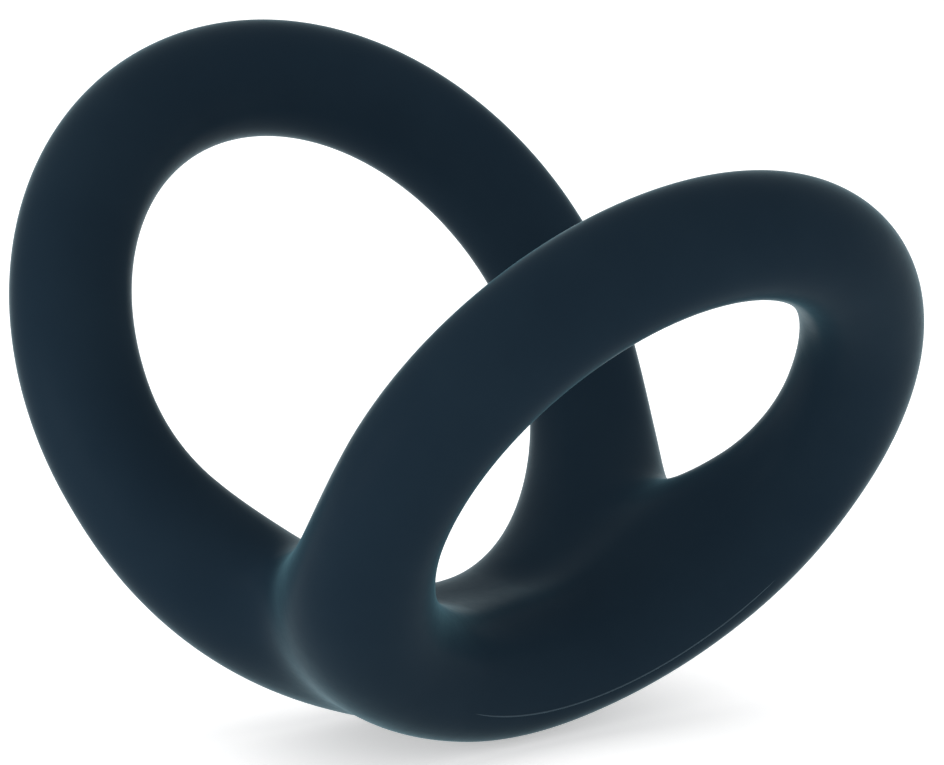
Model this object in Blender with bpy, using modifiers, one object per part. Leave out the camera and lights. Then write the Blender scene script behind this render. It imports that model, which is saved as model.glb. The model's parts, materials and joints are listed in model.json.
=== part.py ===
"""Soft double-ring hand massager: two closed rings of moulded silicone rise in a V from one shared
saddle. The larger ring leans back and the smaller one leans forward, and each can be pressed
towards the other or spread outwards, because the saddle between them bends.

Metres, +Z up. The piece stands on the undersides of its two tubes at z = 0. X runs along the line
where the planes of the two rings meet, and the smaller ring is on the +Y side. The origin is on
the floor under the middle of the whole footprint.
"""

from math import cos, radians, sin

import bmesh
import bpy
import numpy as np
from mathutils import Matrix, Vector

# Driving dimensions
TUBE_RADIUS = 0.0058  # both rings are the same round cord
REAR_RADIUS = 0.0300  # centreline radius of the larger ring
FRONT_RADIUS = 0.0271  # centreline radius of the smaller ring
LEAN = radians(31.4)  # of each ring from upright
ROOT = 0.0112  # from the line where the ring planes meet up to each ring's lowest centreline

# The web that fills the V is a fillet between the tubes, which widens on the way up the rings
FILLET_LOW = 0.0117
FILLET_HIGH = 0.0288
FILLET_FROM = radians(11.7)  # angles round the rings from their lowest points
FILLET_TO = radians(73.8)
CORE_RADIUS = 0.0070  # of the rough arc that stands in for the web before it takes its final form
CORE_TOP = 0.0205

# Where the piece stands and how the moulding is divided
FLOOR = 0.0033  # height of the floor above the line where the ring planes meet
SADDLE_REACH = 0.0290  # up along each ring's plane, from the line where the planes meet
GAP = 0.0003  # between the divided pieces

# Fineness of the surface
VOXEL = 0.0019
REMESHES = 2
RELAX_PASSES = 12
RING_SEGMENTS = 96
TUBE_SEGMENTS = 24

SILICONE = (0.020, 0.036, 0.052, 1.0)

REAR = {"radius": REAR_RADIUS, "side": -1.0}
FRONT = {"radius": FRONT_RADIUS, "side": 1.0}
MEAN_RADIUS = (REAR_RADIUS + FRONT_RADIUS) / 2


def reach(ring):
    """How far a ring stands out from the middle of the V, at its furthest."""
    return (ROOT + 2 * ring["radius"]) * sin(LEAN) + TUBE_RADIUS


# The line where the ring planes meet sits off the origin, as the larger ring leans out further
MIDDLE = Vector((0.0, (reach(REAR) - reach(FRONT)) / 2, -FLOOR))


def along(ring, distance):
    """The point that far up a ring's plane from the line where the two planes meet."""
    return MIDDLE + distance * Vector((0.0, ring["side"] * sin(LEAN), cos(LEAN)))


def facing(ring):
    """The turn about X that stands an upright ring or box in the ring's leaning plane."""
    return -ring["side"] * LEAN


def tube_distance(points, ring):
    """How far each point, measured from the line where the planes meet, is from a ring's tube."""
    up = points[:, 1] * ring["side"] * sin(LEAN) + points[:, 2] * cos(LEAN)
    across = points[:, 1] * ring["side"] * cos(LEAN) - points[:, 2] * sin(LEAN)
    outwards = np.hypot(points[:, 0], up - ROOT - ring["radius"]) - ring["radius"]
    return np.hypot(outwards, across) - TUBE_RADIUS


def moulding_distance(points):
    """How far each point is from the moulding: two tubes and the fillet that joins them."""
    rear = tube_distance(points, REAR)
    front = tube_distance(points, FRONT)
    centre = ROOT + MEAN_RADIUS
    angle = np.arctan2(np.abs(points[:, 0]), centre - points[:, 2] / cos(LEAN))
    share = np.clip((angle - FILLET_FROM) / (FILLET_TO - FILLET_FROM), 0, 1)
    fillet = FILLET_LOW + (FILLET_HIGH - FILLET_LOW) * share**2 * (3 - 2 * share)
    nearness = np.clip(1 - np.abs(rear - front) / fillet, 0, None)
    return np.minimum(rear, front) - nearness**2 * fillet / 4


def onto_surface(points):
    """Moves each point along the slope of the distance until it lies on the moulding."""
    step = 1e-6
    for _ in range(4):
        here = moulding_distance(points)
        slope = np.empty_like(points)
        for axis in range(3):
            ahead = points.copy()
            ahead[:, axis] += step
            slope[:, axis] = (moulding_distance(ahead) - here) / step
        points = points - (here / (slope**2).sum(1))[:, None] * slope
    return points


def settle(mesh):
    """Spreads a mesh's vertices evenly over the moulding's surface."""
    count = len(mesh.vertices)
    flat = np.empty(count * 3, np.float32)
    mesh.vertices.foreach_get("co", flat)
    points = flat.reshape(-1, 3).astype(float) - np.array(MIDDLE)
    ends = np.empty(len(mesh.edges) * 2, np.int32)
    mesh.edges.foreach_get("vertices", ends)
    first, second = ends.reshape(-1, 2).T
    neighbours = np.bincount(ends, minlength=count)[:, None]
    points = onto_surface(points)
    for _ in range(RELAX_PASSES):
        total = np.zeros_like(points)
        np.add.at(total, first, points[second])
        np.add.at(total, second, points[first])
        points = onto_surface((points + total / neighbours) / 2)
    mesh.vertices.foreach_set("co", (points + np.array(MIDDLE)).astype(np.float32).ravel())
    mesh.update()


def collection(name):
    made = bpy.data.collections.new(name)
    bpy.context.scene.collection.children.link(made)
    return made


def evaluated_mesh(obj):
    """A new mesh of an object with its modifiers."""
    seen = obj.evaluated_get(bpy.context.evaluated_depsgraph_get())
    return bpy.data.meshes.new_from_object(seen)


def boolean(obj, other, operation):
    cut = obj.modifiers.new(operation.lower() + "_" + other.name, "BOOLEAN")
    cut.operation = operation
    cut.object = other
    cut.solver = "EXACT"


def hoop(name, radius, thickness, centre, turn):
    """A plain torus that stands upright facing along Y, then is turned about X."""
    bpy.ops.mesh.primitive_torus_add(
        major_segments=RING_SEGMENTS,
        minor_segments=TUBE_SEGMENTS,
        major_radius=radius,
        minor_radius=thickness,
        location=centre,
        rotation=(turn + radians(90), 0.0, 0.0),
    )
    torus = bpy.context.object
    torus.name = name
    return torus


def ring_form(name, ring):
    centre = along(ring, ROOT + ring["radius"])
    return hoop(name, ring["radius"], TUBE_RADIUS, centre, facing(ring))


def web_core(place):
    """The lower arc of an upright hoop between the rings, as rough material for the web."""
    centre = MIDDLE + Vector((0.0, 0.0, (ROOT + MEAN_RADIUS) * cos(LEAN)))
    core = hoop("web_core", MEAN_RADIUS, CORE_RADIUS, centre, 0.0)
    core.scale.y = cos(LEAN)
    above = Vector((0.0, 0.0, MIDDLE.z + CORE_TOP))
    boolean(core, cutter("core_top", above, (0.1, 0.1, 0.1), 0.0, place), "DIFFERENCE")
    return core


def moulded_mesh(place):
    """The whole moulding as one even mesh: rings and core joined, then drawn onto its surface."""
    form = ring_form("rear_form", REAR)
    extras = (ring_form("front_form", FRONT), web_core(place))
    for extra in extras:
        boolean(form, extra, "UNION")
    for _ in range(REMESHES):
        remesh = form.modifiers.new("even", "REMESH")
        remesh.mode = "VOXEL"
        remesh.voxel_size = VOXEL
        mesh = evaluated_mesh(form)
        mesh.transform(form.matrix_world)
        form.modifiers.clear()
        form.matrix_world = Matrix.Identity(4)
        settle(mesh)
        form.data = mesh
    for done in (form, *extras):
        bpy.data.objects.remove(done, do_unlink=True)
    return mesh


def cutter(name, corner, size, turn, place):
    """A box with its lower middle at the corner point, turned about X."""
    mesh = bpy.data.meshes.new(name)
    shape = bmesh.new()
    bmesh.ops.create_cube(shape, size=1.0)
    bmesh.ops.translate(shape, vec=(0.0, 0.0, 0.5), verts=shape.verts)
    bmesh.ops.scale(shape, vec=size, verts=shape.verts)
    shape.to_mesh(mesh)
    shape.free()
    box = bpy.data.objects.new(name, mesh)
    box.location = corner
    box.rotation_euler = (turn, 0.0, 0.0)
    box.hide_render = True
    box.display_type = "WIRE"
    place.objects.link(box)
    return box


def loop_cutter(name, ring, start, place):
    """A box that holds one ring's loop from that distance up its plane, clear of the other ring."""
    size = (3 * ring["radius"], 4 * TUBE_RADIUS, 3 * ring["radius"])
    return cutter(name, along(ring, start), size, facing(ring), place)


def silicone(name):
    """Matt dark blue silicone."""
    material = bpy.data.materials.new(name)
    material.use_nodes = True
    shader = material.node_tree.nodes["Principled BSDF"]
    shader.inputs["Base Color"].default_value = SILICONE
    shader.inputs["Roughness"].default_value = 0.62
    shader.inputs["Metallic"].default_value = 0.0
    return material


def add_piece(name, mesh, pivot, place):
    """A copy of the moulding, to be cut down to one piece, with its origin at its pivot."""
    own = mesh.copy()
    own.name = name
    own.transform(Matrix.Translation(-pivot))
    own.shade_smooth()
    own.materials.append(silicone(name))
    piece = bpy.data.objects.new(name, own)
    piece.location = pivot
    place.objects.link(piece)
    return piece


def main():
    for obj in list(bpy.data.objects):
        bpy.data.objects.remove(obj, do_unlink=True)
    pieces = collection("double_ring_massager")
    cutters = collection("cutters")
    moulding = moulded_mesh(cutters)

    # The saddle is the shared base: what is left under both loops, pressed flat where it stands
    saddle = add_piece("saddle", moulding, MIDDLE, pieces)
    floor_size = (0.2, 0.2, 0.1)
    floor = cutter("floor", Vector((0.0, 0.0, 0.0)), floor_size, radians(180), cutters)
    boolean(saddle, floor, "DIFFERENCE")

    # Each loop turns about the lowest centreline point of its own ring
    for name, ring in (("rear_ring", REAR), ("front_ring", FRONT)):
        taken = loop_cutter(name + "_taken", ring, SADDLE_REACH - GAP / 2, cutters)
        boolean(saddle, taken, "DIFFERENCE")
        kept = loop_cutter(name + "_kept", ring, SADDLE_REACH + GAP / 2, cutters)
        loop = add_piece(name, moulding, along(ring, ROOT), pieces)
        boolean(loop, kept, "INTERSECT")


main()
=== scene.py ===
"""Soft double-ring hand massager, standing in its V on a pale floor.

The skin is one moulding of dark blue silicone. It is divided where its two halves are mirror
partners, over the middle of the base, into one half for each ring.
"""

import json
from math import cos, radians, sin

import bmesh
import bpy
import numpy as np
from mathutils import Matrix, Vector

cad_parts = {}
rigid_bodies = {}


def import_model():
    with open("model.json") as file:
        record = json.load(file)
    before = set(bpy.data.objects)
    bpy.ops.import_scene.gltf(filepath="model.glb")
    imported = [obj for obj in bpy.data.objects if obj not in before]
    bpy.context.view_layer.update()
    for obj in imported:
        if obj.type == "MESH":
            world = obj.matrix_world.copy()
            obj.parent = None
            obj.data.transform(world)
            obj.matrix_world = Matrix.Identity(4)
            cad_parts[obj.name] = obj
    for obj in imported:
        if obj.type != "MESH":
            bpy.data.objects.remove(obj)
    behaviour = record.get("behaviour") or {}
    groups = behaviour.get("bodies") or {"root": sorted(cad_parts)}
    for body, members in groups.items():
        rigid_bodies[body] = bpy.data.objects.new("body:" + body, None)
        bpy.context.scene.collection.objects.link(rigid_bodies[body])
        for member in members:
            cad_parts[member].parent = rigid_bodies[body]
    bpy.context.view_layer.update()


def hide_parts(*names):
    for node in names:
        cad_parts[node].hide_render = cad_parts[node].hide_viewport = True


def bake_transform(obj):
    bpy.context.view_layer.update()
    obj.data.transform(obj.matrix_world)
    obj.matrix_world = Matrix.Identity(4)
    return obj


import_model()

# The moulding, as in the CAD model
TUBE_RADIUS = 0.0058
REAR = {"radius": 0.0300, "side": -1.0}
FRONT = {"radius": 0.0271, "side": 1.0}
MEAN_RADIUS = (REAR["radius"] + FRONT["radius"]) / 2
LEAN = radians(31.4)
ROOT = 0.0112
FILLET_LOW = 0.0117
FILLET_HIGH = 0.0288
FILLET_FROM = radians(11.7)
FILLET_TO = radians(73.8)
FLOOR = 0.0033  # its height above the line where the ring planes meet
CORE_RADIUS = 0.0070  # of the rough arc that stands in for the web at first
CORE_TOP = 0.0205
MIDDLE = np.array((0.0, (REAR["radius"] - FRONT["radius"]) * sin(LEAN), -FLOOR))

# The surface mesh
VOXEL = 0.0019
REMESHES = 2
RELAX_PASSES = 12
SUBDIVISIONS = 2
HOOP_SEGMENTS = 96
TUBE_SEGMENTS = 24

# The witness line that the mould left along the outer side of the smaller ring
LINE_RADIUS = 0.00010
LINE_SINK = 0.00004
LINE_FROM = radians(-60)
LINE_TO = radians(24)
LINE_ROUND = radians(95)  # round the tube, from the ring's outermost line
LINE_TAPER = radians(12)
LINE_POINTS = 160

# Silicone colours, which drift between the first two
DEEP_BLUE = (0.0081, 0.0166, 0.0264, 1.0)
PALER_BLUE = (0.0095, 0.0190, 0.0294, 1.0)
LINE_GREY = (0.10, 0.14, 0.17, 1.0)
BLOOM_TINT = (0.40, 0.85, 1.0, 1.0)

# Plain light: a white room, a faintly lit table and a small soft lamp beside the larger ring
ROOM_DIM = 0.95
ROOM_BRIGHT = 1.10
FLOOR_GLOW = 0.45
LAMP_POWER = 0.10
LAMP_SIZE = 0.10
LAMP_PLACE = (0.162, -0.045, 0.020)
LAMP_TARGET = (0.030, -0.025, 0.030)
BRIGHT_SIDE = (0.76, -0.65, 0.0)


def tube_distance(points, ring):
    """How far each point, measured from the line where the ring planes meet, is from a tube."""
    up = points[:, 1] * ring["side"] * sin(LEAN) + points[:, 2] * cos(LEAN)
    across = points[:, 1] * ring["side"] * cos(LEAN) - points[:, 2] * sin(LEAN)
    outwards = np.hypot(points[:, 0], up - ROOT - ring["radius"]) - ring["radius"]
    return np.hypot(outwards, across) - TUBE_RADIUS


def moulding_distance(points):
    """How far each point is from the moulding: two tubes and the fillet that joins them."""
    rear = tube_distance(points, REAR)
    front = tube_distance(points, FRONT)
    centre = ROOT + MEAN_RADIUS
    angle = np.arctan2(np.abs(points[:, 0]), centre - points[:, 2] / cos(LEAN))
    share = np.clip((angle - FILLET_FROM) / (FILLET_TO - FILLET_FROM), 0, 1)
    fillet = FILLET_LOW + (FILLET_HIGH - FILLET_LOW) * share**2 * (3 - 2 * share)
    nearness = np.clip(1 - np.abs(rear - front) / fillet, 0, None)
    return np.minimum(rear, front) - nearness**2 * fillet / 4


def slope(points):
    """The gradient of the distance, which points straight out of the surface."""
    step = 1e-6
    result = np.empty_like(points)
    for axis in range(3):
        shift = np.zeros(3)
        shift[axis] = step
        ahead = moulding_distance(points + shift)
        behind = moulding_distance(points - shift)
        result[:, axis] = (ahead - behind) / (2 * step)
    return result


def onto_surface(points):
    """Moves each point along the slope of the distance until it lies on the moulding."""
    for _ in range(4):
        steep = slope(points)
        points = points - (moulding_distance(points) / (steep**2).sum(1))[:, None] * steep
    return points


def read_points(mesh):
    flat = np.empty(len(mesh.vertices) * 3, np.float32)
    mesh.vertices.foreach_get("co", flat)
    return flat.reshape(-1, 3).astype(float)


def write_points(mesh, points):
    mesh.vertices.foreach_set("co", points.astype(np.float32).ravel())
    mesh.update()


def settle(mesh):
    """Spreads a mesh's vertices evenly over the moulding's surface."""
    ends = np.empty(len(mesh.edges) * 2, np.int32)
    mesh.edges.foreach_get("vertices", ends)
    first, second = ends.reshape(-1, 2).T
    neighbours = np.bincount(ends, minlength=len(mesh.vertices))[:, None]
    points = onto_surface(read_points(mesh) - MIDDLE)
    for _ in range(RELAX_PASSES):
        total = np.zeros_like(points)
        np.add.at(total, first, points[second])
        np.add.at(total, second, points[first])
        points = onto_surface((points + total / neighbours) / 2)
    write_points(mesh, points + MIDDLE)


def evaluated_mesh(obj):
    """A new mesh of an object with its modifiers, in place."""
    seen = obj.evaluated_get(bpy.context.evaluated_depsgraph_get())
    mesh = bpy.data.meshes.new_from_object(seen)
    mesh.transform(obj.matrix_world)
    return mesh


def add_object(name, mesh):
    obj = bpy.data.objects.new(name, mesh)
    bpy.context.scene.collection.objects.link(obj)
    return obj


def hoop(radius, thickness, centre, turn):
    """A plain torus that stands upright facing along Y, then is turned about X."""
    bpy.ops.mesh.primitive_torus_add(
        major_segments=HOOP_SEGMENTS,
        minor_segments=TUBE_SEGMENTS,
        major_radius=radius,
        minor_radius=thickness,
        location=centre,
        rotation=(turn + radians(90), 0.0, 0.0),
    )
    return bpy.context.object


def ring_frame(ring):
    """A ring's centre, and the directions up its plane and out of its side."""
    up = np.array((0.0, ring["side"] * sin(LEAN), cos(LEAN)))
    out = np.array((0.0, ring["side"] * cos(LEAN), -sin(LEAN)))
    return MIDDLE + (ROOT + ring["radius"]) * up, up, out


def combine(obj, other, operation):
    boolean = obj.modifiers.new(operation.lower(), "BOOLEAN")
    boolean.operation = operation
    boolean.object = other
    boolean.solver = "EXACT"


def ring_form(ring):
    return hoop(ring["radius"], TUBE_RADIUS, ring_frame(ring)[0], -ring["side"] * LEAN)


def rough_form():
    """Two tori and an arc between their lower parts, with the material that the web needs."""
    form, other = [ring_form(ring) for ring in (REAR, FRONT)]
    combine(form, other, "UNION")
    height = (ROOT + MEAN_RADIUS) * cos(LEAN)
    core = hoop(MEAN_RADIUS, CORE_RADIUS, MIDDLE + np.array((0.0, 0.0, height)), 0.0)
    core.scale.y = cos(LEAN)
    bpy.ops.mesh.primitive_cube_add(size=0.1, location=(0.0, 0.0, CORE_TOP - FLOOR + 0.05))
    combine(core, bpy.context.object, "DIFFERENCE")
    combine(form, core, "UNION")
    return form


def skin_mesh():
    """The moulding's surface as an even, fine mesh."""
    old = set(bpy.data.objects)
    form = rough_form()
    for _ in range(REMESHES):
        remesh = form.modifiers.new("even", "REMESH")
        remesh.mode = "VOXEL"
        remesh.voxel_size = VOXEL
        mesh = evaluated_mesh(form)
        settle(mesh)
        form = add_object("settled", mesh)
    subdivision = form.modifiers.new("fine", "SUBSURF")
    subdivision.levels = SUBDIVISIONS
    subdivision.render_levels = SUBDIVISIONS
    mesh = evaluated_mesh(form)
    write_points(mesh, onto_surface(read_points(mesh) - MIDDLE) + MIDDLE)
    for obj in set(bpy.data.objects) - old:
        bpy.data.objects.remove(obj, do_unlink=True)
    return mesh


def half_skin(name, whole, ring, material):
    """The half of the skin on one ring's side of the middle, pressed flat where it stands."""
    shape = bmesh.new()
    shape.from_mesh(whole)
    parts = [*shape.verts, *shape.edges, *shape.faces]
    bmesh.ops.bisect_plane(
        shape,
        geom=parts,
        plane_co=MIDDLE,
        plane_no=(0.0, -ring["side"], 0.0),
        clear_outer=True,
    )
    mesh = bpy.data.meshes.new(name)
    shape.to_mesh(mesh)
    shape.free()
    points = read_points(mesh)
    normals = slope(points - MIDDLE)
    pressed = points[:, 2] < 0
    points[pressed, 2] = 0.0
    normals[pressed] = (0.0, 0.0, -1.0)
    normals /= np.linalg.norm(normals, axis=1)[:, None]
    write_points(mesh, points)
    mesh.shade_smooth()
    mesh.normals_split_custom_set_from_vertices([Vector(n) for n in normals])
    mesh.materials.append(material)
    return add_object(name, mesh)


def witness_line(name, ring, material):
    """A hair-thin raised line along the outer side of a ring, tapered to nothing at its ends."""
    angle = np.linspace(LINE_FROM, LINE_TO, LINE_POINTS)
    centre, up, out = ring_frame(ring)
    across = np.array((1.0, 0.0, 0.0))
    direction = np.outer(np.sin(angle), across) - np.outer(np.cos(angle), up)
    outwards = ring["radius"] + TUBE_RADIUS * cos(LINE_ROUND)
    points = centre + outwards * direction + TUBE_RADIUS * sin(LINE_ROUND) * out
    points = onto_surface(points - MIDDLE)
    points = points - LINE_SINK * slope(points) + MIDDLE
    curve = bpy.data.curves.new(name, "CURVE")
    curve.dimensions = "3D"
    curve.bevel_depth = LINE_RADIUS
    curve.bevel_resolution = 2
    curve.use_fill_caps = True
    spline = curve.splines.new("POLY")
    spline.points.add(LINE_POINTS - 1)
    taper = np.clip(np.minimum(angle - LINE_FROM, LINE_TO - angle) / LINE_TAPER, 0, 1) ** 0.5
    for point, place, size in zip(spline.points, points, taper):
        point.co = (*place, 1.0)
        point.radius = max(size, 0.02)
    maker = add_object(name + "_maker", curve)
    mesh = evaluated_mesh(maker)
    bpy.data.objects.remove(maker, do_unlink=True)
    mesh.name = name
    mesh.shade_smooth()
    mesh.materials.clear()
    mesh.materials.append(material)
    return add_object(name, mesh)


def silicone(name, lighter):
    """Matt silicone: dark blue, with a faint bloom, a fine dry texture and slight ripples.

    The share called lighter turns it towards the grey of the mould line.
    """
    material = bpy.data.materials.new(name)
    material.use_nodes = True
    nodes = material.node_tree.nodes
    links = material.node_tree.links
    shader = nodes["Principled BSDF"]
    place = nodes.new("ShaderNodeTexCoord")

    def noise(size, detail):
        made = nodes.new("ShaderNodeTexNoise")
        made.inputs["Scale"].default_value = 1 / size
        made.inputs["Detail"].default_value = detail
        links.new(place.outputs["Object"], made.inputs["Vector"])
        return made.outputs["Fac"]

    def spread(value, low, high):
        made = nodes.new("ShaderNodeMapRange")
        made.inputs["From Min"].default_value = 0.3
        made.inputs["From Max"].default_value = 0.7
        made.inputs["To Min"].default_value = low
        made.inputs["To Max"].default_value = high
        links.new(value, made.inputs["Value"])
        return made.outputs["Result"]

    drift = spread(noise(0.012, 3.0), 0.0, 1.0)
    tint = nodes.new("ShaderNodeMix")
    tint.data_type = "RGBA"
    tint.inputs["A"].default_value = DEEP_BLUE
    tint.inputs["B"].default_value = PALER_BLUE
    links.new(drift, tint.inputs["Factor"])
    shade = nodes.new("ShaderNodeMix")
    shade.data_type = "RGBA"
    shade.inputs["Factor"].default_value = lighter
    shade.inputs["B"].default_value = LINE_GREY
    links.new(tint.outputs["Result"], shade.inputs["A"])
    links.new(shade.outputs["Result"], shader.inputs["Base Color"])
    links.new(spread(noise(0.0007, 2.0), 0.30, 0.36), shader.inputs["Roughness"])
    shader.inputs["Specular IOR Level"].default_value = 0.008
    shader.inputs["IOR"].default_value = 1.41
    shader.inputs["Sheen Weight"].default_value = 0.24
    shader.inputs["Sheen Roughness"].default_value = 0.26
    shader.inputs["Sheen Tint"].default_value = BLOOM_TINT

    grain = nodes.new("ShaderNodeBump")
    grain.inputs["Strength"].default_value = 0.35
    grain.inputs["Distance"].default_value = 0.000012
    links.new(noise(0.00022, 2.0), grain.inputs["Height"])
    ripple = nodes.new("ShaderNodeBump")
    ripple.inputs["Strength"].default_value = 1.0
    ripple.inputs["Distance"].default_value = 0.00006
    links.new(noise(0.006, 1.0), ripple.inputs["Height"])
    links.new(ripple.outputs["Normal"], grain.inputs["Normal"])
    links.new(grain.outputs["Normal"], shader.inputs["Normal"])
    return material


def floor_material():
    material = bpy.data.materials.new("pale_floor")
    material.use_nodes = True
    nodes = material.node_tree.nodes
    shader = nodes["Principled BSDF"]
    shader.inputs["Base Color"].default_value = (0.93, 0.93, 0.93, 1.0)
    shader.inputs["Roughness"].default_value = 0.9
    shader.inputs["Specular IOR Level"].default_value = 0.0
    shader.inputs["Emission Color"].default_value = (1.0, 1.0, 1.0, 1.0)
    shader.inputs["Emission Strength"].default_value = FLOOR_GLOW
    return material


def soft_lamp(place, target):
    """A square light that faces a point."""
    light = bpy.data.lights.new("soft_lamp", "AREA")
    light.size = LAMP_SIZE
    light.energy = LAMP_POWER
    lamp = add_object("soft_lamp", light)
    lamp.location = place
    lamp.rotation_euler = (Vector(target) - Vector(place)).to_track_quat("-Z", "Y").to_euler()


def soft_room():
    """White light from all round, stronger from the side that faces the larger ring's edge."""
    world = bpy.data.worlds.new("studio")
    world.use_nodes = True
    nodes = world.node_tree.nodes
    links = world.node_tree.links
    direction = nodes.new("ShaderNodeTexCoord")
    toward = nodes.new("ShaderNodeVectorMath")
    toward.operation = "DOT_PRODUCT"
    toward.inputs[1].default_value = BRIGHT_SIDE
    strength = nodes.new("ShaderNodeMapRange")
    strength.inputs["From Min"].default_value = -1.0
    strength.inputs["From Max"].default_value = 1.0
    strength.inputs["To Min"].default_value = ROOM_DIM
    strength.inputs["To Max"].default_value = ROOM_BRIGHT
    links.new(direction.outputs["Generated"], toward.inputs[0])
    links.new(toward.outputs["Value"], strength.inputs["Value"])
    links.new(strength.outputs["Result"], nodes["Background"].inputs["Strength"])
    nodes["Background"].inputs["Color"].default_value = (1.0, 1.0, 1.0, 1.0)
    return world


def studio():
    bpy.ops.mesh.primitive_plane_add(size=6.0, location=(0.0, 0.0, -0.0001))
    floor = bpy.context.object
    floor.name = "floor"
    floor.data.materials.append(floor_material())
    bpy.context.scene.world = soft_room()
    soft_lamp(LAMP_PLACE, LAMP_TARGET)
    bpy.context.scene.view_settings.view_transform = "Standard"


def photo_camera():
    camera = bpy.data.cameras.new("camera")
    camera.sensor_width = 36.0
    camera.lens = 187.3
    eye = add_object("camera", camera)
    eye.location = (0.2942, 0.3460, 0.1319)
    eye.rotation_euler = (radians(77.72), radians(-1.028), radians(139.821))
    bpy.context.scene.camera = eye


body_silicone = silicone("silicone", 0.0)
line_silicone = silicone("silicone_line", 0.35)
whole = skin_mesh()
for name, ring in (("rear", REAR), ("front", FRONT)):
    skin = half_skin(name + "_skin", whole, ring, body_silicone)
    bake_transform(skin)
    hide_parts(name + "_ring", "saddle")
bpy.data.meshes.remove(whole)
line = witness_line("witness_line", FRONT, line_silicone)
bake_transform(line)

studio()
photo_camera()
